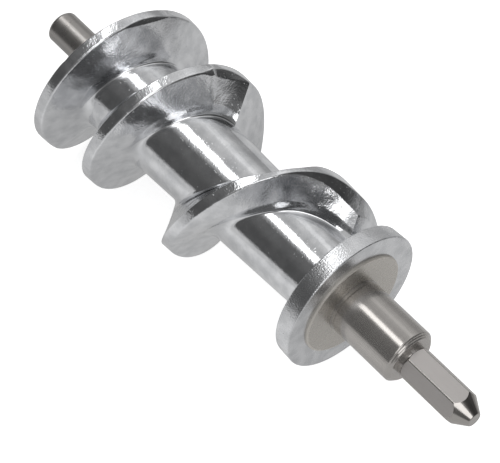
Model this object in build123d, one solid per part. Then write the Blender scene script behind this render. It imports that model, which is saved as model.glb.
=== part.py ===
from build123d import *
import os
from math import cos, sin, tan, radians

# All sizes in millimetres, angles in degrees.
# X runs along the screw towards the drive end and Z is up. The pieces are drawn with X = 0 at the
# drive face of the flange, and are moved at the end so that X = 0 is the middle of the journal.
# Angles round the axis are counted from +Y towards +Z.

# Cast screw: core, flange and flight
screw_length = 109.5            # flange drive face to the faced front end
core_radius_rear = 11.6         # at the flange drive face
core_radius_front = 15.3        # at the faced front end
flange_diameter = 46.7
flange_thickness = 5.9
flange_rim_taper = 0.4          # how much smaller the rim is in radius on the flight side
flange_edge_break = 0.4
flight_radius_rear = 22.6       # at the flange drive face
flight_radius_front = 28.0      # at the faced front end

# The screw is cast in a two-part die. Its flight is laid out by half turns, from one parting
# line to the next, and each half turn advances further than the one before it.
parting_angle = 34.4            # upper parting line
half_turn_angle = (180.0, 158.0, 202.0, 180.0, 180.0, 183.0, 177.0)
half_turn_advance = (15.6, 9.5, 10.9, 15.7, 16.9, 29.4, 32.0)
half_turn_sway = (0.0, 0.0, 0.6, 0.0, 2.5, 0.0, 1.5)    # how far the flight levels out near a parting line
first_turn_carried = 0.5        # share of the first half turn that the front end still carries
land_at_parting = (4.4, 5.3, 3.4, 5.3, 5.7, 6.6, 8.6, 8.2)
land_width = 3.5                # away from the parting lines
land_spread_lower = 5           # power with which the land widens towards a lower parting line
land_spread_upper = 10          # the same towards an upper parting line
first_parting_overhang = 0.5    # how far the first whole turn's land begins ahead of the front end
drive_flank_draft_lower = 17.0  # drive-side flank at a lower parting line, from the radial direction
drive_flank_draft_upper = 22.5  # the same at an upper parting line
front_flank_draft = 27.0
root_fillet_rise = 2.2
root_fillet_run = 2.5
root_sink = 0.25                # how far the flight's foot lies below the core's skin
edge_break = 0.35               # broken edge on the drive side of the land
last_facet_run = 3.5            # facet beside the last turn's land at the upper parting line, along the axis
last_facet_drop = 4.5           # the same facet towards the axis
last_facet_start = 0.74         # share of the half turn at which that facet begins
section_stops = (0.0, 0.08, 0.2, 0.35, 0.5, 0.65, 0.8, 0.92, 1.0)

# Steel drive shaft, cast into the rear of the core
journal_diameter = 17.5
journal_length = 24.4           # flange drive face to the journal's end face
journal_chamfer = 1.3
journal_undercut_width = 1.0
journal_undercut_depth = 0.4
neck_length = 1.1               # round neck between the journal and the hexagon
hex_across_flats = 10.0
hex_end = 49.7                  # flange drive face to the very end of the shaft
hex_cone_length = 5.7           # measured at the hexagon's corners
hex_tip_diameter = 4.5
hex_roll = 90.0                 # direction of one flat
shaft_root_diameter = 14.0
shaft_root_length = 26.0
root_groove_width = 4.0
root_groove_depth = 1.0

# Steel thrust washer, seated in a shallow recess of the flange
washer_diameter = 34.2
washer_thickness = 1.6
washer_proud = 0.85
washer_edge = 0.6

# Steel front stud, cast into the front of the core: knife square and plate pin
pin_diameter = 10.3
pin_chamfer = 0.8
pin_end = 130.8                 # flange drive face to the end of the pin
square_length = 4.7
square_across_flats = 11.4
square_corner_diameter = 14.2
stud_root_diameter = 10.3
stud_root_length = 22.0

# Turn of the whole part about its axis, so that it lies as it comes to rest
roll_at_rest = 0.0

os.makedirs("parts", exist_ok=True)


def turned(points):
    """Solid turned about the X axis from a profile of (x, radius) points that starts and ends on it."""
    corners = [points[0]]
    for point in points[1:]:
        if point != corners[-1]:
            corners.append(point)
    outline = Polyline(*[(x, r, 0) for x, r in corners], close=True)
    return revolve(make_face(outline), Axis.X)


def along(start, end, x):
    """Value at x on a straight change from the front end of the screw to the flange face."""
    share = (x + screw_length) / screw_length
    return start + (end - start) * share


def core_radius(x):
    return along(core_radius_front, core_radius_rear, x)


def flight_radius(x):
    return along(flight_radius_front, flight_radius_rear, x)


def radial_point(x, r, angle):
    return (x, r * cos(radians(angle)), r * sin(radians(angle)))


def flight_section(angle, front, land, bevel, drop, drive_draft):
    """Closed outline of the flight in the plane through the axis at this angle."""
    drive = front + land
    foot = core_radius((front + drive) / 2)
    knee = foot + root_fillet_rise
    front_lean = tan(radians(front_flank_draft))
    drive_lean = tan(radians(drive_draft))
    corner = flight_radius(drive) - drop
    front_knee = front - front_lean * (flight_radius(front) - knee)
    drive_knee = drive + drive_lean * (corner - knee)

    def at(x, r):
        return radial_point(x, r, angle)

    down_front = Vector(-front_lean, -cos(radians(angle)), -sin(radians(angle)))
    down_drive = Vector(drive_lean, -cos(radians(angle)), -sin(radians(angle)))
    edges = [
        Line(at(front, flight_radius(front)), at(drive - bevel, flight_radius(drive - bevel))),
        Line(at(drive - bevel, flight_radius(drive - bevel)), at(drive, corner)),
        Line(at(drive, corner), at(drive_knee, knee)),
        TangentArc(at(drive_knee, knee), at(drive_knee + root_fillet_run, foot - root_sink), tangent=down_drive),
        Line(at(drive_knee + root_fillet_run, foot - root_sink),
             at(front_knee - root_fillet_run, foot - root_sink)),
        TangentArc(at(front_knee, knee), at(front_knee - root_fillet_run, foot - root_sink), tangent=down_front),
        Line(at(front_knee, knee), at(front, flight_radius(front))),
    ]
    return Wire(edges)


def half_turn(number):
    """One half turn of the flight, between two parting lines, as a loft of flight sections."""
    faces_up = number % 2 == 1
    start_angle = parting_angle + 180.0 + half_turn_angle[0] - sum(half_turn_angle[:number])
    start = -screw_length - first_parting_overhang - half_turn_advance[0] + sum(half_turn_advance[:number])
    land_0 = land_at_parting[number]
    land_1 = land_at_parting[number + 1]
    sections = []
    for stop in section_stops:
        if number == 0 and stop < 1.0 - first_turn_carried:
            continue
        upper = stop if faces_up else 1.0 - stop
        near_parting = abs(2 * stop - 1) ** (land_spread_upper if upper > 0.5 else land_spread_lower)
        land_end = land_0 if stop < 0.5 else land_1
        land = land_width + (land_end - land_width) * near_parting
        sway = half_turn_sway[number] * sin(radians(360.0 * stop))
        front = start + half_turn_advance[number] * stop
        if not faces_up:
            front = front + land_0 + (land_1 - land_0) * stop - sway - land
        facet = 0.0
        if number >= len(half_turn_advance) - 2:
            facet = max(0.0, (upper - last_facet_start) / (1.0 - last_facet_start))
        run = last_facet_run * facet ** 0.7
        drop = edge_break + last_facet_drop * facet ** 1.5
        draft_gain = drive_flank_draft_upper - drive_flank_draft_lower
        draft = drive_flank_draft_lower + draft_gain * sin(radians(90.0 * upper)) ** 2
        angle = start_angle - half_turn_angle[number] * stop
        sections.append(flight_section(angle, front, land + run, edge_break + run, drop, draft))
    return Solid.make_loft(sections)


# Drive shaft: root, undercut journal, neck, hexagon and coned tip
journal_radius = journal_diameter / 2
root_radius = shaft_root_diameter / 2
neck_radius = hex_across_flats / 2
hex_start = journal_length + neck_length
hex_corner_radius = neck_radius / cos(radians(30))
groove_rear = -(shaft_root_length - root_groove_width) / 2
journal_bearing_start = washer_proud + journal_undercut_width + journal_undercut_depth
journal_bearing_end = journal_length - journal_chamfer
shaft_round = turned([
    (-shaft_root_length, 0),
    (-shaft_root_length, root_radius),
    (groove_rear - root_groove_width, root_radius),
    (groove_rear - root_groove_width, root_radius - root_groove_depth),
    (groove_rear, root_radius - root_groove_depth),
    (groove_rear, root_radius),
    (0, root_radius),
    (0, journal_radius),
    (washer_proud, journal_radius),
    (washer_proud, journal_radius - journal_undercut_depth),
    (washer_proud + journal_undercut_width, journal_radius - journal_undercut_depth),
    (journal_bearing_start, journal_radius),
    (journal_bearing_end, journal_radius),
    (journal_length, journal_radius - journal_chamfer),
    (journal_length, neck_radius),
    (hex_start, neck_radius),
    (hex_start, 0),
])
hex_plane = Plane(origin=(hex_start - neck_length / 2, 0, 0), x_dir=(0, 1, 0), z_dir=(1, 0, 0))
hex_outline = hex_plane * RegularPolygon(neck_radius, 6, major_radius=False, rotation=hex_roll)
hex_bar = extrude(hex_outline, hex_end - hex_plane.origin.X)
coned = turned([
    (hex_plane.origin.X, 0),
    (hex_plane.origin.X, neck_radius),
    (hex_start, neck_radius),
    (hex_start + (hex_corner_radius - neck_radius), hex_corner_radius + 0.01),
    (hex_end - hex_cone_length, hex_corner_radius + 0.01),
    (hex_end, hex_tip_diameter / 2),
    (hex_end, 0),
])
drive_shaft = shaft_round + (hex_bar & coned)

# Thrust washer
washer_back = washer_proud - washer_thickness
washer_radius = washer_diameter / 2
thrust_washer = turned([
    (washer_back, 0),
    (washer_back, washer_radius),
    (washer_proud - washer_edge, washer_radius),
    (washer_proud, washer_radius - washer_edge),
    (washer_proud, 0),
]) - turned([
    (washer_back - 1, 0),
    (washer_back - 1, journal_radius),
    (washer_proud + 1, journal_radius),
    (washer_proud + 1, 0),
])

# Front stud: root, knife square and plate pin
stud_root_radius = stud_root_diameter / 2
pin_radius = pin_diameter / 2
square_end = -screw_length - square_length
stud_groove = -screw_length + (stud_root_length - root_groove_width) / 2
stud_round = turned([
    (-pin_end, 0),
    (-pin_end, pin_radius - pin_chamfer),
    (-pin_end + pin_chamfer, pin_radius),
    (-screw_length, pin_radius),
    (-screw_length, stud_root_radius),
    (stud_groove, stud_root_radius),
    (stud_groove, stud_root_radius - root_groove_depth),
    (stud_groove + root_groove_width, stud_root_radius - root_groove_depth),
    (stud_groove + root_groove_width, stud_root_radius),
    (-screw_length + stud_root_length, stud_root_radius),
    (-screw_length + stud_root_length, 0),
])
square_plane = Plane(origin=(square_end, 0, 0), x_dir=(0, 1, 0), z_dir=(1, 0, 0))
square_bar = extrude(square_plane * Rectangle(square_across_flats, square_across_flats), square_length)
square_round = turned([
    (square_end, 0),
    (square_end, square_corner_diameter / 2),
    (-screw_length, square_corner_diameter / 2),
    (-screw_length, 0),
])
front_stud = stud_round + (square_bar & square_round)

# Screw casting: core and flange turned in one profile, then the flight, half turn by half turn
flange_radius = flange_diameter / 2
core = turned([
    (-screw_length, 0),
    (-screw_length, core_radius_front),
    (-flange_thickness, core_radius(-flange_thickness)),
    (-flange_thickness, flange_radius - flange_rim_taper - flange_edge_break),
    (-flange_thickness + flange_edge_break, flange_radius - flange_rim_taper),
    (-flange_edge_break, flange_radius),
    (0, flange_radius - flange_edge_break),
    (0, 0),
])
flight_room = turned([
    (-screw_length, 0),
    (-screw_length, flight_radius_front + flange_radius),
    (-flange_thickness / 2, flight_radius_front + flange_radius),
    (-flange_thickness / 2, 0),
])
screw = core
for number in range(len(half_turn_advance)):
    screw = screw + (half_turn(number) & flight_room)
washer_seat = turned([
    (washer_back, 0),
    (washer_back, washer_radius),
    (1, washer_radius),
    (1, 0),
])
auger_casting = screw - washer_seat - drive_shaft - front_stud

nodes = {
    "auger_casting": auger_casting,
    "drive_shaft": drive_shaft,
    "thrust_washer": thrust_washer,
    "front_stud": front_stud,
}
journal_middle = (journal_bearing_start + journal_bearing_end) / 2
for name, shape in nodes.items():
    placed = Pos(-journal_middle, 0, 0) * shape.rotate(Axis.X, roll_at_rest)
    placed.label = name
    export_step(placed, f"parts/{name}.step")
    print(name, "solids", len(placed.solids()), "volume", round(placed.volume, 1))
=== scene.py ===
from math import atan2, cos, degrees, hypot, pi, radians, sin, tan

import bmesh
import bpy
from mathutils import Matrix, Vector, noise


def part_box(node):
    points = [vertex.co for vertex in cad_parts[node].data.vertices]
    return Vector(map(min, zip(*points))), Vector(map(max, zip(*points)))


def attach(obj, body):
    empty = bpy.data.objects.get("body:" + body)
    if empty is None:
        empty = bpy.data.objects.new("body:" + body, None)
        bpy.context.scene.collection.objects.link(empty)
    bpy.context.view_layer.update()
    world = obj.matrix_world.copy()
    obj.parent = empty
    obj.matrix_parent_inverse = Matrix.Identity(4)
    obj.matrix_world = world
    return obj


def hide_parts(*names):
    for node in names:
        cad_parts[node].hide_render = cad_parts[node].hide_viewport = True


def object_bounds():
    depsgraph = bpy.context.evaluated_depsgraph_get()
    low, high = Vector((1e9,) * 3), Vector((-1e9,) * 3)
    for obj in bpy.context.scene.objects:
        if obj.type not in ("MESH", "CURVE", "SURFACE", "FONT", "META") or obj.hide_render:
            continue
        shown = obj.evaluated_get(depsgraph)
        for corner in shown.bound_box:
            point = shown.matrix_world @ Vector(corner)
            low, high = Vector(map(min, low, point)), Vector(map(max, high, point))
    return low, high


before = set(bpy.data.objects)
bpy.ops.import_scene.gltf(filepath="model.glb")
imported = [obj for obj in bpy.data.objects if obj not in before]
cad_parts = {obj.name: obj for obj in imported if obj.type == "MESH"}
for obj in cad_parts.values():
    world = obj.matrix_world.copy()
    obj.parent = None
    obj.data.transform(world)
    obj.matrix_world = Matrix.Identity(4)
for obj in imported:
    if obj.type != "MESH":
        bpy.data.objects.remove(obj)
cad_low, cad_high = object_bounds()
bpy.ops.object.select_all(action="DESELECT")

# Screw casting: core, flight and flange in one piece of bright light metal.
# It comes out of a two-part die, and the die's parting lines stay as creases on the flight.
# The front end is faced flat, and both steel inserts are cast into it.
mm = 0.001
screw_front, flange_face = (corner.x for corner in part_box("auger_casting"))
screw_length = (flange_face - screw_front) / mm
core_radius_rear, core_radius_front = 11.6, 15.3
flight_radius_rear, flight_radius_front = 22.6, 28.0
parting_angle = 34.4
half_turn_angle = (180.0, 158.0, 202.0, 180.0, 180.0, 183.0, 177.0)
half_turn_advance = (15.6, 9.5, 10.9, 15.7, 16.9, 29.4, 32.0)
half_turn_sway = (0.0, 0.0, 0.6, 0.0, 2.5, 0.0, 1.5)
land_at_parting = (4.4, 5.3, 3.4, 5.3, 5.7, 6.6, 8.6, 8.2)
land_width, land_spread_lower, land_spread_upper = 3.5, 5, 10
first_parting_overhang = 0.5
drive_draft_lower, drive_draft_upper, front_flank_draft = radians(17.0), radians(22.5), radians(27.0)
front_fillet, drive_fillet_upper, drive_fillet_lower = 2.1, 0.8, 3.8
drive_fillet_change = (0.25, 0.52)
fillet_steps, flank_steps, foot_guess = 6, 4, 5.0
edge_break, edge_round = 0.35, 0.3
last_facet_run, last_facet_drop, last_facet_start = 3.3, 4.0, 0.72
thin_land_cut, thin_land_rise, thin_land_fall = 1.6, (0.58, 0.69), (0.78, 0.92)
facet_lens, facet_lens_start = (0.6, 1.3), 0.8
edge_ripple, edge_nick, burr_turn, burr_height = 0.06, 0.25, 512, 0.5
ripple_rate, nick_rate, nick_from, nick_rise = 0.21, 0.11, 0.42, 0.3
flange_radius, flange_thickness, flange_rim_taper = 23.35, 5.9, 0.4
flange_edge_round = 0.5
washer_seat_radius, washer_seat_depth = 17.1, 0.75
shaft_bore_radius, shaft_bore_depth = 7.0, 26.0
stud_bore_radius, stud_bore_depth = 5.15, 22.0
parting_turn = [sum(half_turn_angle[1:n]) for n in range(1, len(half_turn_angle) + 1)]


def along_screw(front_value, rear_value, x):
    """Value on a straight change along the screw, at x millimetres from the flange face."""
    return rear_value + (rear_value - front_value) * x / screw_length


def core_radius(x):
    return along_screw(core_radius_front, core_radius_rear, x)


def flight_radius(x):
    return along_screw(flight_radius_front, flight_radius_rear, x)


def edge_loss(turn, edge):
    """Metal that a cast edge lacks at this turn: a fine ripple, and a nick here and there."""
    ripple = abs(noise.noise(Vector((turn * ripple_rate, edge, 0.0))))
    nick = noise.noise(Vector((turn * nick_rate, edge, 7.0))) - nick_from
    burr = burr_height if turn == burr_turn and edge > 1.0 else 0.0
    return edge_ripple * ripple + edge_nick * min(max(nick / nick_rise, 0.0), 1.0) - burr


def eased(value, low, high):
    """0 below low, 1 above high and a soft change between them."""
    share = min(max((value - low) / (high - low), 0.0), 1.0)
    return share * share * (3.0 - 2.0 * share)


def root_arc(x, top, draft, fillet, side):
    """Fillet between a flank and the core, flank end first. The flank leans out towards side."""
    foot = core_radius(x + side * foot_guess)
    centre = x + side * (tan(draft) * (top - foot - fillet) + fillet / cos(draft))
    foot = core_radius(centre)
    points = []
    for step in range(fillet_steps + 1):
        angle = draft + (pi / 2 - draft) * step / fillet_steps
        points.append((centre - side * fillet * cos(angle), foot + fillet * (1 - sin(angle))))
    return points


def between(start, end, steps):
    """Points that divide a straight stretch of outline."""
    shares = [step / steps for step in range(1, steps)]
    return [(start[0] + (end[0] - start[0]) * s, start[1] + (end[1] - start[1]) * s) for s in shares]


def rounded(before, corner, after):
    """Three points that round a corner of an outline."""
    ends = []
    for x, r in (before, after):
        reach = hypot(x - corner[0], r - corner[1])
        share = min(edge_round, 0.45 * reach) / reach
        ends.append((corner[0] + (x - corner[0]) * share, corner[1] + (r - corner[1]) * share))
    middle = [(a + 2 * b + c) / 4 for a, b, c in zip(ends[0], corner, ends[1])]
    return [ends[0], tuple(middle), ends[1]]


def flight_section(turn):
    """Outline of the flight at this turn, as (x, radius) from its front root to its drive root."""
    number = sum(1 for parting in parting_turn[:6] if turn >= parting)
    stop = 1.0 + turn / half_turn_angle[0]
    if number > 0:
        stop = (turn - parting_turn[number - 1]) / half_turn_angle[number]
    faces_up = number % 2 == 1
    upper = min(max(stop if faces_up else 1.0 - stop, 0.0), 1.0)
    land_0, land_1 = land_at_parting[number], land_at_parting[number + 1]
    near_parting = min(1.0, abs(2 * stop - 1) ** (land_spread_upper if upper > 0.5 else land_spread_lower))
    land = land_width + ((land_0 if stop < 0.5 else land_1) - land_width) * near_parting
    sway = half_turn_sway[number] * sin(radians(360.0 * stop))
    front = sum(half_turn_advance[:number]) + half_turn_advance[number] * stop
    front -= screw_length + first_parting_overhang + half_turn_advance[0]
    if not faces_up:
        front += land_0 + (land_1 - land_0) * stop - sway - land
    drive_draft = drive_draft_lower + (drive_draft_upper - drive_draft_lower) * sin(pi / 2 * upper) ** 2
    run = drop = lens = 0.0
    if number >= 5:
        run = last_facet_run * eased(upper, last_facet_start, 1.0)
        drop = last_facet_drop * max(0.0, (upper - last_facet_start) / (1.0 - last_facet_start)) ** 1.5
    elif faces_up:
        share = max(0.0, (upper - facet_lens_start) / (1.0 - facet_lens_start))
        lens = facet_lens[number // 2] * sin(pi * share)
        run, drop = lens * tan(drive_draft), lens
    if number == 5:
        thin = thin_land_cut * eased(upper, *thin_land_rise) * (1.0 - eased(upper, *thin_land_fall))
        front, land = front + thin, land - thin
    front_loss, drive_loss = edge_loss(turn, 1.0), edge_loss(turn, 4.0)
    front_corner = (front, flight_radius(front) - front_loss)
    edge = front + land - edge_break - lens - max(drive_loss, 0.0)
    land_corner = (edge, flight_radius(edge) - min(drive_loss, 0.0))
    ridge = front + land + run
    ridge_corner = (ridge, flight_radius(ridge) - edge_break - drop - drive_loss)
    fillet_change = eased(upper, *drive_fillet_change)
    drive_fillet = drive_fillet_lower + (drive_fillet_upper - drive_fillet_lower) * fillet_change
    front_root = root_arc(front, flight_radius(front), front_flank_draft, front_fillet, -1)
    drive_root = root_arc(ridge, flight_radius(ridge) - edge_break - drop, drive_draft, drive_fillet, 1)
    points = front_root[::-1]
    points += between(front_root[0], front_corner, flank_steps)
    points += rounded(front_root[0], front_corner, land_corner)
    points += rounded(front_corner, land_corner, ridge_corner)
    points += rounded(land_corner, ridge_corner, drive_root[0])
    points += between(ridge_corner, drive_root[0], flank_steps)
    return points + drive_root


def outline_radius(points, x):
    """Radius of the screw's skin at x, on a section's outline or on the core beside it."""
    for (x_0, r_0), (x_1, r_1) in zip(points, points[1:]):
        if x_0 <= x < x_1:
            return r_0 + (r_1 - r_0) * (x - x_0) / (x_1 - x_0)
    return core_radius(x)


def cut_section(turn):
    """Flight section that stops at the faced front end and at the flange."""
    points = flight_section(turn)
    kept = []
    for x, r in points:
        inside = min(max(x, -screw_length), -flange_thickness)
        kept.append((inside, r if inside == x else outline_radius(points, inside)))
    return kept


# No operator sweeps a section whose lead, land and draft change on the way, so the skin is made
# of such sections every two degrees. The core's skin joins each turn to the next one.
stations = sorted(set(range(0, 360, 2)) | {int(parting) % 360 for parting in parting_turn})
laps = 3
turns = [station + 360 * lap for lap in range(-1, laps) for station in stations] + [360 * laps]
per_turn = len(stations)
skin = bmesh.new()


def skin_point(x, r, turn):
    angle = radians(parting_angle + 180.0 - turn)
    return skin.verts.new((flange_face + x * mm, r * mm * cos(angle), r * mm * sin(angle)))


sections = [[skin_point(x, r, turn) for x, r in cut_section(turn)] for turn in turns]
for row, next_row in zip(sections, sections[1:]):
    for n in range(len(row) - 1):
        skin.faces.new((row[n], next_row[n], next_row[n + 1], row[n + 1]))
for n in range(len(sections) - per_turn - 1):
    ahead, next_ahead = sections[n + per_turn][0], sections[n + per_turn + 1][0]
    skin.faces.new((sections[n][-1], sections[n + 1][-1], next_ahead, ahead))


def ring_faces(edge, next_edge, rings, turn, next_turn):
    """Faces from one stretch of edge inwards or outwards, ring by ring, to the axis."""
    for x, r in rings:
        point, next_point = skin_point(x, r, turn), skin_point(x, r, next_turn)
        skin.faces.new((*edge, *next_edge, next_point, point))
        edge, next_edge = (point,), (next_point,)
    skin.faces.new((*edge, *next_edge, skin_point(rings[-1][0], 0.0, turn)))


flange_back = -flange_thickness
front_rings = [(-screw_length, stud_bore_radius), (stud_bore_depth - screw_length, stud_bore_radius)]
flange_rings = [
    (flange_back, flange_radius - flange_rim_taper),
    (0.0, flange_radius),
    (0.0, washer_seat_radius),
    (-washer_seat_depth, washer_seat_radius),
    (-washer_seat_depth, shaft_bore_radius),
    (-shaft_bore_depth, shaft_bore_radius),
]
for n in range(per_turn):
    turn, next_turn = turns[n], turns[n + 1]
    front_edge, next_front_edge = (sections[n][0],), (sections[n + 1][0],)
    if n == per_turn - 1:
        next_front_edge = (sections[n + 1][0], sections[0][0])
    ring_faces(front_edge, next_front_edge, front_rings, turn, next_turn)
    feet = []
    for lap_turn in (turn + 360 * laps, next_turn + 360 * laps):
        feet.append(skin_point(flange_back, outline_radius(flight_section(lap_turn), flange_back), lap_turn))
    last = laps * per_turn + n
    skin.faces.new((sections[last][-1], sections[last + 1][-1], feet[1], feet[0]))
    ring_faces((feet[0],), (feet[1],), flange_rings, turn, next_turn)

crease_points = []
for turn, row in zip(turns, sections):
    if turn in parting_turn:
        crease_points.append([point.co.copy() for point in row])
same_point = 0.002 * mm
bmesh.ops.remove_doubles(skin, verts=skin.verts, dist=same_point)
bmesh.ops.dissolve_degenerate(skin, edges=skin.edges, dist=same_point)
bmesh.ops.recalc_face_normals(skin, faces=skin.faces)
screw_mesh = bpy.data.meshes.new("screw_casting")
skin.to_mesh(screw_mesh)
skin.free()
screw = bpy.data.objects.new("screw_casting", screw_mesh)
bpy.context.collection.objects.link(screw)
screw.select_set(True)
bpy.context.view_layer.objects.active = screw

bpy.ops.object.mode_set(mode="EDIT")
bpy.ops.mesh.select_mode(type="EDGE")
bpy.ops.mesh.select_all(action="DESELECT")


def pick_edges(piece, wanted):
    """Selects the edges of the piece in edit mode whose two ends, in millimetres, are both wanted."""
    mesh = bmesh.from_edit_mesh(piece.data)
    for edge in mesh.edges:
        edge.select_set(all(wanted(v.co.x / mm, hypot(v.co.y, v.co.z) / mm) for v in edge.verts))
    bmesh.update_edit_mesh(piece.data)


def on_flange_rim(x, r):
    from_face = x - flange_face / mm
    at_face = abs(from_face) < 0.01 and abs(r - flange_radius) < 0.01
    at_back = abs(from_face - flange_back) < 0.01 and abs(r - flange_radius + flange_rim_taper) < 0.01
    return at_face or at_back


pick_edges(screw, on_flange_rim)
bpy.ops.mesh.bevel(offset=flange_edge_round * mm, offset_type="OFFSET", segments=3, affect="EDGES")

mesh = bmesh.from_edit_mesh(screw.data)
at_crease = {tuple(round(c / mm, 2) for c in point) for points in crease_points for point in points}
bpy.ops.mesh.select_all(action="DESELECT")
for edge in mesh.edges:
    ends = [tuple(round(c / mm, 2) for c in v.co) for v in edge.verts]
    same_turn = abs(edge.verts[0].co.normalized().cross(edge.verts[1].co.normalized()).x) < 1e-3
    edge.select_set(ends[0] in at_crease and ends[1] in at_crease and same_turn)
bmesh.update_edit_mesh(screw.data)
bpy.ops.mesh.mark_sharp()
bpy.ops.object.mode_set(mode="OBJECT")
bpy.ops.object.shade_smooth_by_angle(angle=radians(38), keep_sharp_edges=True)
face_weights = screw.modifiers.new("face_weights", "WEIGHTED_NORMAL")
face_weights.keep_sharp = True
bpy.ops.object.modifier_apply(modifier=face_weights.name)


class Tone:
    """A value in a node tree, which takes part in sums and adds further nodes."""

    def __init__(self, tree, socket=None):
        self.tree = tree
        self.socket = socket

    def node(self, kind, settings=(), values=(), output=0):
        """Adds a node: its settings come first, then the values or links of its sockets."""
        made = self.tree.nodes.new(kind)
        for name, setting in dict(settings).items():
            setattr(made, name, setting)
        for name, value in dict(values).items():
            if isinstance(value, Tone):
                self.tree.links.new(value.socket, made.inputs[name])
            else:
                made.inputs[name].default_value = value
        return Tone(self.tree, made.outputs[output] if len(made.outputs) else None)

    def sum(self, operation, first, second=0.0):
        """One step of arithmetic."""
        return self.node("ShaderNodeMath", {"operation": operation}, {0: first, 1: second})

    def __add__(self, other):
        return self.sum("ADD", self, other)

    def __radd__(self, other):
        return self.sum("ADD", other, self)

    def __sub__(self, other):
        return self.sum("SUBTRACT", self, other)

    def __rsub__(self, other):
        return self.sum("SUBTRACT", other, self)

    def __mul__(self, other):
        return self.sum("MULTIPLY", self, other)

    def __rmul__(self, other):
        return self.sum("MULTIPLY", other, self)

    def step(self, low, high):
        """0 below low, 1 above high and a soft change between them."""
        values = {"Value": self, "From Min": low, "From Max": high}
        return self.node("ShaderNodeMapRange", {"interpolation_type": "SMOOTHSTEP"}, values)

    def grain(self, size, detail=2.0, stretch=(1.0, 1.0, 1.0)):
        """Soft noise from 0 to 1 on these coordinates, with grains of this size in metres."""
        placed = self.node("ShaderNodeMapping", values={"Vector": self, "Scale": stretch})
        values = {"Vector": placed, "Scale": 1.0 / size, "Detail": detail}
        return self.node("ShaderNodeTexNoise", values=values)


def new_finish(name):
    """Empty material, and the object coordinates in it."""
    finish = bpy.data.materials.new(name)
    finish.use_nodes = True
    finish.node_tree.nodes.clear()
    return finish, Tone(finish.node_tree).node("ShaderNodeTexCoord", output=3)


def metal(place, light, dark, tint, roughness, height, depth, bare=1.0):
    """Closes a metal's material: colour between two tones, roughness, and relief of this depth in metres.
    The share that isn't bare metal is a pale film, which scatters the light."""
    colour = place.node("ShaderNodeMix", {"data_type": "RGBA"}, {0: tint, 6: dark, 7: light}, output=2)
    relief = place.node("ShaderNodeBump", values={"Strength": 1.0, "Distance": depth, "Height": height})
    values = {"Base Color": colour, "Metallic": bare, "Roughness": roughness, "Normal": relief}
    surface = place.node("ShaderNodeBsdfPrincipled", values=values)
    place.node("ShaderNodeOutputMaterial", values={"Surface": surface})


cast_metal, place = new_finish("bright_cast_metal")
along, across, upright = (place.node("ShaderNodeSeparateXYZ", values={0: place}, output=n) for n in range(3))
behind_face = along - flange_face
square_reach = across * across + upright * upright
from_axis = square_reach.sum("SQRT", square_reach)
core_taper = (core_radius_front - core_radius_rear) / screw_length
on_flange = behind_face.step((flange_back - 0.2) * mm, (flange_back + 0.1) * mm)
rim = on_flange * from_axis.step((flange_radius - 1.15) * mm, (flange_radius - 0.75) * mm)
above_core = from_axis + core_taper * behind_face - core_radius_rear * mm
flank = above_core.step(1.0 * mm, 3.5 * mm) * (1.0 - on_flange)
swell = place.grain(9 * mm, 1.0)
ripple = place.grain(0.9 * mm, 2.0)
speckle = place.grain(0.45 * mm, 1.0)
pits = place.grain(0.7 * mm, 1.0).step(0.68, 0.78)
metal(
    place,
    light=(0.79, 0.796, 0.81, 1.0),
    dark=(0.64, 0.648, 0.663, 1.0),
    tint=place.grain(4 * mm, 4.0).step(0.3, 0.7),
    roughness=0.06 + 0.05 * place.grain(3 * mm, 3.0) + 0.05 * flank + 0.18 * on_flange + 0.12 * pits,
    height=swell * (1.0 + 5.5 * flank)
    + ripple * (0.10 + 0.28 * flank + 0.15 * rim)
    + speckle * (0.07 + 0.14 * flank + 0.1 * on_flange + 0.3 * rim)
    - pits * (0.15 + 0.10 * flank),
    depth=0.10 * mm,
)
screw.data.materials.append(cast_metal)
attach(screw, "root")
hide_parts("auger_casting")

# Thrust washer: a flat ground steel ring in a shallow seat of the flange, round the journal.
# It stands a little proud of the flange and takes the screw's end thrust.
washer_radius, washer_bore, washer_edge = washer_seat_radius, 8.8, 0.6
washer_back, washer_front = -washer_seat_depth, 0.85


def turned_piece(name, profile, closed=False, segments=128):
    """Lathe work: a circle extruded along X and resized, from one (x, radius) of the profile to the next."""
    bpy.ops.object.select_all(action="DESELECT")
    x, r = profile[0]
    bpy.ops.mesh.primitive_circle_add(
        vertices=segments,
        radius=r * mm,
        fill_type="NOTHING" if closed else "NGON",
        location=(flange_face + x * mm, 0.0, 0.0),
        rotation=(0.0, pi / 2, 0.0),
    )
    piece = bpy.context.object
    piece.name = piece.data.name = name
    bpy.ops.object.transform_apply(location=True, rotation=True)
    bpy.ops.object.mode_set(mode="EDIT")
    bpy.ops.mesh.select_mode(type="EDGE")
    bpy.ops.mesh.select_all(action="SELECT")
    for next_x, next_r in profile[1:] + ([profile[0]] if closed else []):
        bpy.ops.mesh.extrude_edges_move(TRANSFORM_OT_translate={"value": ((next_x - x) * mm, 0.0, 0.0)})
        middle = (flange_face + next_x * mm, 0.0, 0.0)
        bpy.ops.transform.resize(value=(1.0, next_r / r, next_r / r), center_override=middle)
        x, r = next_x, next_r
    if not closed:
        bpy.ops.mesh.edge_face_add()
    bpy.ops.mesh.select_all(action="SELECT")
    bpy.ops.mesh.remove_doubles(threshold=0.001 * mm)
    bpy.ops.mesh.normals_make_consistent(inside=False)
    bpy.ops.object.mode_set(mode="OBJECT")
    return piece


def round_rings(piece, rings, width, segments=2):
    """Breaks the edges of a turned piece at these (x, radius) rings."""
    bpy.ops.object.mode_set(mode="EDIT")
    bpy.ops.mesh.select_mode(type="EDGE")
    face = flange_face / mm
    pick_edges(piece, lambda x, r: any(hypot(x - face - a, r - b) < 0.02 for a, b in rings))
    bpy.ops.mesh.bevel(offset=width * mm, offset_type="OFFSET", segments=segments, affect="EDGES")
    bpy.ops.object.mode_set(mode="OBJECT")


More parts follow.
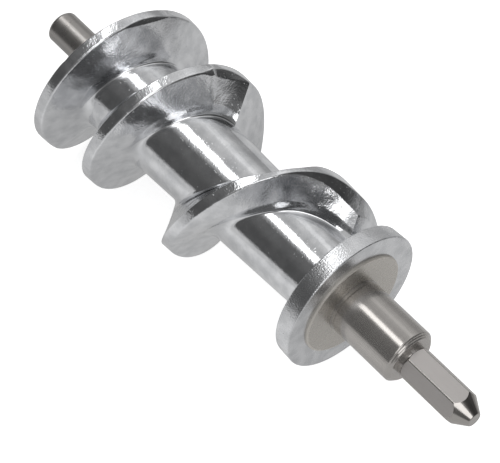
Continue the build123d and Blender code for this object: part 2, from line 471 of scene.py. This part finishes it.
def smooth_turned(piece):
    """Smooth shading that keeps real edges crisp and flat faces flat."""
    bpy.ops.object.select_all(action="DESELECT")
    piece.select_set(True)
    bpy.context.view_layer.objects.active = piece
    bpy.ops.object.shade_smooth_by_angle(angle=radians(32))
    weights = piece.modifiers.new("face_weights", "WEIGHTED_NORMAL")
    weights.keep_sharp = True
    bpy.ops.object.modifier_apply(modifier=weights.name)


washer_corner = (washer_front, washer_radius)
washer = turned_piece(
    "washer_ring",
    [(washer_back, washer_bore), (washer_back, washer_radius), washer_corner, (washer_front, washer_bore)],
    closed=True,
)
round_rings(washer, [washer_corner], washer_edge, 4)
smooth_turned(washer)

ground_steel, place = new_finish("ground_steel")
across, upright = (place.node("ShaderNodeSeparateXYZ", values={0: place}, output=n) for n in (1, 2))
square_reach = across * across + upright * upright
from_axis = square_reach.sum("SQRT", square_reach)
rings_per_metre = 3200.0
ring_values = {"W": from_axis * rings_per_metre, "Detail": 2.0}
scroll = from_axis.node("ShaderNodeTexNoise", {"noise_dimensions": "1D"}, ring_values)
blotch = place.grain(4 * mm, 3.0)
worn_edge = from_axis.step((washer_radius - 0.8) * mm, (washer_radius - 0.5) * mm)
metal(
    place,
    light=(0.59, 0.565, 0.525, 1.0),
    dark=(0.48, 0.455, 0.42, 1.0),
    tint=0.5 * blotch + 0.5 * scroll,
    roughness=0.22 + 0.10 * blotch + 0.2 * worn_edge,
    height=scroll + 0.6 * place.grain(0.8 * mm, 2.0),
    depth=0.008 * mm,
    bare=0.86 - 0.36 * worn_edge,
)
washer.data.materials.append(ground_steel)
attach(washer, "root")
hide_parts("thrust_washer")

# Drive shaft: one turned steel bar cast into the rear of the screw.
# Polished journal with a relief groove at the washer and a chamfered end, then a short round neck
# and a hexagonal shank, whose end is turned to a blunt cone.
journal_radius, journal_end, chamfer_start = 8.75, 24.4, 23.05
shaft_root_radius, shaft_root_end = shaft_bore_radius, -shaft_bore_depth
root_groove, groove_front, groove_rear = 1.0, -15.0, -11.0
chamfer_rings = [(23.4, 8.5), (23.5, 8.26), (23.9, 8.02), (24.0, 7.78)]
chamfer_radius, relief_slope, washer_gap = 7.5, 0.4, 0.02
relief_radius, relief_end = 8.35, 1.85
neck_radius, neck_end = 5.0, 25.5
hex_flat, hex_end, hex_cone_start, hex_tip_radius = 5.0, 49.7, 44.0, 2.25
hex_corner = hex_flat / cos(radians(30))
hex_edge_break, tip_round, overlap = 0.28, 0.3, 0.8
journal_edge_round, chamfer_edge_round = 0.12, 0.15
cone_inset, cone_start, cone_radius = 0.4, neck_end + 0.1, hex_corner + 0.05
shaft = turned_piece(
    "steel_shaft",
    [
        (shaft_root_end, shaft_root_radius),
        (groove_front, shaft_root_radius),
        (groove_front, shaft_root_radius - root_groove),
        (groove_rear, shaft_root_radius - root_groove),
        (groove_rear, shaft_root_radius),
        (0.0, shaft_root_radius),
        (0.0, journal_radius),
        (washer_front + washer_gap, journal_radius),
        (washer_front + washer_gap, relief_radius),
        (relief_end, relief_radius),
        (relief_end + relief_slope, journal_radius),
        (chamfer_start, journal_radius),
        *chamfer_rings,
        (journal_end, chamfer_radius),
        (journal_end, neck_radius),
        (neck_end, neck_radius),
    ],
)
journal_edges = [(relief_end + relief_slope, journal_radius), (chamfer_start, journal_radius)]
round_rings(shaft, journal_edges, journal_edge_round)
round_rings(shaft, [(journal_end, chamfer_radius)], chamfer_edge_round)

cone = turned_piece(
    "cone",
    [
        (neck_end - overlap, neck_radius - cone_inset),
        (neck_end - 0.05, neck_radius - cone_inset),
        (cone_start, neck_radius),
        (cone_start + hex_corner - hex_flat, cone_radius),
        (hex_cone_start, cone_radius),
        (hex_end, hex_tip_radius),
    ],
)
round_rings(cone, [(hex_end, hex_tip_radius)], tip_round, 3)
bpy.ops.object.select_all(action="DESELECT")
hex_length = hex_end - neck_end + overlap + 2.0
bpy.ops.mesh.primitive_cylinder_add(
    vertices=6,
    radius=hex_corner * mm,
    depth=hex_length * mm,
    location=(flange_face + (neck_end - overlap - 1.0 + hex_length / 2) * mm, 0.0, 0.0),
    rotation=(0.0, pi / 2, 0.0),
)
shank = bpy.context.object
bpy.ops.object.transform_apply(location=True, rotation=True)
bpy.ops.object.mode_set(mode="EDIT")
bpy.ops.mesh.select_mode(type="EDGE")
mesh = bmesh.from_edit_mesh(shank.data)
for edge in mesh.edges:
    edge.select_set(abs(edge.verts[0].co.x - edge.verts[1].co.x) > 10 * mm)
bmesh.update_edit_mesh(shank.data)
bpy.ops.mesh.bevel(offset=hex_edge_break * mm, offset_type="OFFSET", segments=2, affect="EDGES")
bpy.ops.object.mode_set(mode="OBJECT")


def cut_with(piece, other, operation):
    """Boolean of the piece with another one, which is used up."""
    bpy.ops.object.select_all(action="DESELECT")
    piece.select_set(True)
    bpy.context.view_layer.objects.active = piece
    tool = piece.modifiers.new("tool", "BOOLEAN")
    tool.object, tool.operation, tool.solver = other, operation, "EXACT"
    bpy.ops.object.modifier_apply(modifier=tool.name)
    bpy.data.objects.remove(other)


cut_with(shank, cone, "INTERSECT")
cut_with(shaft, shank, "UNION")
smooth_turned(shaft)

polished_steel, place = new_finish("polished_steel")
lathe_lines = place.grain(1.2 * mm, 0.0, stretch=(1.0, 0.03, 0.03))
wipe = place.grain(2.5 * mm, 3.0, stretch=(1.0, 0.3, 0.3))
shaft_along = place.node("ShaderNodeSeparateXYZ", values={0: place}, output=0) - flange_face
on_cone = shaft_along.step((hex_cone_start - 1.0) * mm, hex_cone_start * mm)
metal(
    place,
    light=(0.50, 0.48, 0.46, 1.0),
    dark=(0.43, 0.41, 0.39, 1.0),
    tint=0.6 * wipe + 0.4 * lathe_lines,
    roughness=0.12 + 0.08 * wipe,
    height=lathe_lines,
    depth=0.001 * mm,
    bare=0.76 + 0.24 * on_cone,
)
drawn_steel, place = new_finish("drawn_steel")
draw_lines = place.grain(0.3 * mm, 2.0, stretch=(0.04, 1.0, 1.0))
dull = place.grain(2 * mm, 3.0)
metal(
    place,
    light=(0.60, 0.575, 0.56, 1.0),
    dark=(0.51, 0.485, 0.47, 1.0),
    tint=0.5 * draw_lines + 0.5 * dull,
    roughness=0.38 + 0.14 * dull,
    height=draw_lines + 0.5 * place.grain(0.5 * mm, 2.0),
    depth=0.006 * mm,
    bare=0.8,
)
shaft.data.materials.clear()
shaft.data.materials.append(polished_steel)
shaft.data.materials.append(drawn_steel)
neck_from = flange_face + (journal_end + 0.1) * mm
for face in shaft.data.polygons:
    from_flat = abs(degrees(atan2(face.normal.z, face.normal.y)) % 60.0 - 30.0)
    turned = face.center.x < neck_from or face.normal.x > 0.3 or from_flat > 5.0
    face.material_index = 0 if turned else 1
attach(shaft, "root")
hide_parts("drive_shaft")

# Front stud: a turned steel insert cast into the front end of the screw.
# A square with rounded corners drives the knife, and the round pin runs in the grinder's plate.
pin_radius, pin_end, pin_chamfer = stud_bore_radius, -130.8, 0.8
pin_edge_round, square_edge_break = 0.3, 0.2
stud_root_end, stud_groove_front, stud_groove_rear = -87.5, 9.0 - screw_length, 13.0 - screw_length
square_length, square_flat, square_corner = 4.7, 11.4, 7.1
stud = turned_piece(
    "steel_stud",
    [
        (pin_end, pin_radius - pin_chamfer),
        (pin_end + pin_chamfer, pin_radius),
        (stud_groove_front, pin_radius),
        (stud_groove_front, pin_radius - root_groove),
        (stud_groove_rear, pin_radius - root_groove),
        (stud_groove_rear, pin_radius),
        (stud_root_end, pin_radius),
    ],
)
pin_edges = [(pin_end, pin_radius - pin_chamfer), (pin_end + pin_chamfer, pin_radius)]
round_rings(stud, pin_edges, pin_edge_round)
collar = turned_piece(
    "collar",
    [(-screw_length - square_length, square_corner), (-screw_length, square_corner)],
)
bpy.ops.object.select_all(action="DESELECT")
bpy.ops.mesh.primitive_cube_add(
    size=square_flat * mm,
    location=(flange_face - (screw_length + square_length / 2) * mm, 0.0, 0.0),
)
square = bpy.context.object
bpy.ops.object.transform_apply(location=True)
cut_with(square, collar, "INTERSECT")
cut_with(stud, square, "UNION")
bpy.ops.object.mode_set(mode="EDIT")
bpy.ops.mesh.select_mode(type="EDGE")
square_front = flange_face / mm - screw_length - square_length
pick_edges(stud, lambda x, r: abs(x - square_front) < 0.02 and r > pin_radius + 0.3)
bpy.ops.mesh.bevel(offset=square_edge_break * mm, offset_type="OFFSET", segments=1, affect="EDGES")
bpy.ops.object.mode_set(mode="OBJECT")
smooth_turned(stud)

stud_steel, place = new_finish("stud_steel")
lathe_lines = place.grain(0.25 * mm, 2.0, stretch=(1.0, 0.03, 0.03))
wipe = place.grain(2 * mm, 3.0, stretch=(1.0, 0.3, 0.3))
metal(
    place,
    light=(0.42, 0.405, 0.39, 1.0),
    dark=(0.34, 0.325, 0.31, 1.0),
    tint=0.6 * wipe + 0.4 * lathe_lines,
    roughness=0.24 + 0.10 * wipe,
    height=lathe_lines,
    depth=0.005 * mm,
    bare=0.9,
)
stud.data.materials.clear()
stud.data.materials.append(stud_steel)
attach(stud, "root")
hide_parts("front_stud")

# Floor: a plain pale studio floor, which the camera sees, and a glowing table top that only the metal
# mirrors.
# The table's glow has its light and shade painted in: pale round the part, darker at a distance, with
# painted pools of light and painted shadows beside and under the part.
bpy.ops.object.select_all(action="DESELECT")
bpy.ops.mesh.primitive_plane_add(size=12.0, location=(0.0, 0.0, cad_low.z))
floor = bpy.context.object
floor.name = "studio_floor"
floor.visible_glossy = False
pale, place = new_finish("pale_floor")
floor_values = {
    "Base Color": (0.9, 0.9, 0.9, 1.0),
    "Roughness": 0.9,
    "Emission Color": (1.0, 1.0, 1.0, 1.0),
    "Emission Strength": 0.75,
}
surface = place.node("ShaderNodeBsdfPrincipled", values=floor_values)
place.node("ShaderNodeOutputMaterial", values={"Surface": surface})
floor.data.materials.append(pale)

bpy.ops.mesh.primitive_plane_add(size=12.0, location=(0.0, 0.0, cad_low.z))
table = bpy.context.object
table.name = "studio_table"
table.visible_camera = table.visible_diffuse = table.visible_shadow = False
mirrored, place = new_finish("mirrored_table")


def table_patch(x, y, outer, inner):
    """Soft round patch of the table round this place."""
    ends = {0: place, 1: (x, y, 0.0)}
    apart = place.node("ShaderNodeVectorMath", {"operation": "DISTANCE"}, ends, output=1)
    return 1.0 - apart.step(inner, outer)


far_paleness = 0.32
# Painted pools of light and painted shadows in the table's glow.
lit_middle, bright_left = table_patch(0.0, 0.0, 0.9, 0.3), table_patch(-0.064, -0.064, 0.1, 0.03)
shade_mid, shade_right = table_patch(-0.078, -0.012, 0.055, 0.02), table_patch(0.05, 0.3, 0.25, 0.12)
shade_flange = table_patch(0.0, -0.006, 0.045, 0.012)
ahead, aside = (place.node("ShaderNodeSeparateXYZ", values={0: place}, output=n) for n in range(2))
# Painted shadow: the table's glow is darker in a strip under the screw, where the screw would shade it.
shadow_under_screw = (1.0 - aside.sum("ABSOLUTE", aside).step(0.025, 0.07)) * (1.0 - ahead.step(-0.075, -0.02))
paleness = far_paleness + 0.28 * lit_middle + 0.16 * bright_left - 0.08 * shade_mid - 0.30 * shade_right
paleness = paleness - 0.15 * shadow_under_screw - 0.12 * shade_flange
tones = {0: paleness, 6: (0.0, 0.0, 0.0, 1.0), 7: (1.0, 1.0, 1.0, 1.0)}
table_glow = place.node("ShaderNodeMix", {"data_type": "RGBA"}, tones, output=2)
table_values = {
    "Base Color": (0.0, 0.0, 0.0, 1.0),
    "Specular IOR Level": 0.0,
    "Emission Color": table_glow,
    "Emission Strength": 1.0,
}
surface = place.node("ShaderNodeBsdfPrincipled", values=table_values)
place.node("ShaderNodeOutputMaterial", values={"Surface": surface})
table.data.materials.append(mirrored)

# Studio light: two long soft boxes overhead that run away from the camera, one box before the drive
# end, a pale ceiling on the right and darker walls: the bright metal mirrors them as its bands.
to_right = Vector((0.6493, 0.7605, 0.0))
away = Vector((-0.7605, 0.6493, 0.0))
box_height = 0.72
key_place = to_right * -0.265 + away * 0.35 + Vector((0.0, 0.0, box_height))
fill_place = to_right * 0.25 + away * 0.95 + Vector((0.0, 0.0, box_height))
front_place = Vector((0.63, -0.247, 0.50))
towards_part = front_place.to_track_quat("Z", "Y").to_euler()
along_camera = (0.0, 0.0, radians(49.5))
for name, spot, turn, width, length, brightness in (
    ("key_box", key_place, along_camera, 0.165, 1.1, 2.3),
    ("fill_box", fill_place, along_camera, 0.20, 1.7, 0.15),
    ("front_box", front_place, towards_part, 0.42, 0.60, 1.7),
):
    lamp = bpy.data.lights.new(name, "AREA")
    lamp.shape = "RECTANGLE"
    lamp.size, lamp.size_y = width, length
    lamp.energy = brightness * pi * width * length
    lit = bpy.data.objects.new(name, lamp)
    lit.location, lit.rotation_euler = spot, turn
    bpy.context.collection.objects.link(lit)

world = bpy.data.worlds.new("studio")
bpy.context.scene.world = world
world.use_nodes = True
world.node_tree.nodes.clear()
sky = Tone(world.node_tree).node("ShaderNodeTexCoord", output=0)


def sky_along(direction):
    """How far the direction of view in the world leans towards this one."""
    return sky.node("ShaderNodeVectorMath", {"operation": "DOT_PRODUCT"}, {0: sky, 1: direction}, output=1)


def sky_patch(azimuth, elevation, outer, inner):
    """Soft round patch of the surroundings, from its centre and its radii in degrees."""
    flat = cos(radians(elevation))
    centre = (flat * cos(radians(azimuth)), flat * sin(radians(azimuth)), sin(radians(elevation)))
    return sky_along(centre).step(cos(radians(outer)), cos(radians(inner)))


height = sky_along((0.0, 0.0, 1.0))
ceiling = height.step(0.68, 0.78) * (sky_along(to_right) + 0.6 * height).step(-0.05, 0.15)
back_wall = (sky_along((-0.469, 0.883, 0.0)) + 0.5 * height).step(0.6, 0.9)
back_wall = back_wall * (0.36 + 0.34 * height.step(0.15, 0.5))
front_wall = 0.09 * sky_along((1.0, 0.0, 0.0)).step(-0.2, 0.5)
glow = 0.12 + 0.06 * height.step(0.4, 0.8) + 0.49 * ceiling + (back_wall + front_wall) * (1.0 - ceiling)
dark_right, pale_above = sky_patch(50.0, 27.0, 42.0, 27.0), sky_patch(88.0, 56.0, 30.0, 14.0)
glow = glow * (1.0 - 0.65 * dark_right) + 0.3 * pale_above
backdrop = sky.node("ShaderNodeBackground", values={"Strength": glow})
sky.node("ShaderNodeOutputWorld", values={"Surface": backdrop})

# Camera: at the photograph's angle, looking down on the drive end.
camera = bpy.data.objects.new("camera", bpy.data.cameras.new("camera"))
bpy.context.collection.objects.link(camera)
camera.location = (0.25752, -0.26445, 0.58298)
camera.rotation_euler = (radians(34.538), radians(0.242), radians(49.508))
camera.data.lens, camera.data.sensor_width = 180.0, 36.0
camera.data.clip_start = 0.01
bpy.context.scene.camera = camera
bpy.context.scene.view_settings.view_transform = "Standard"
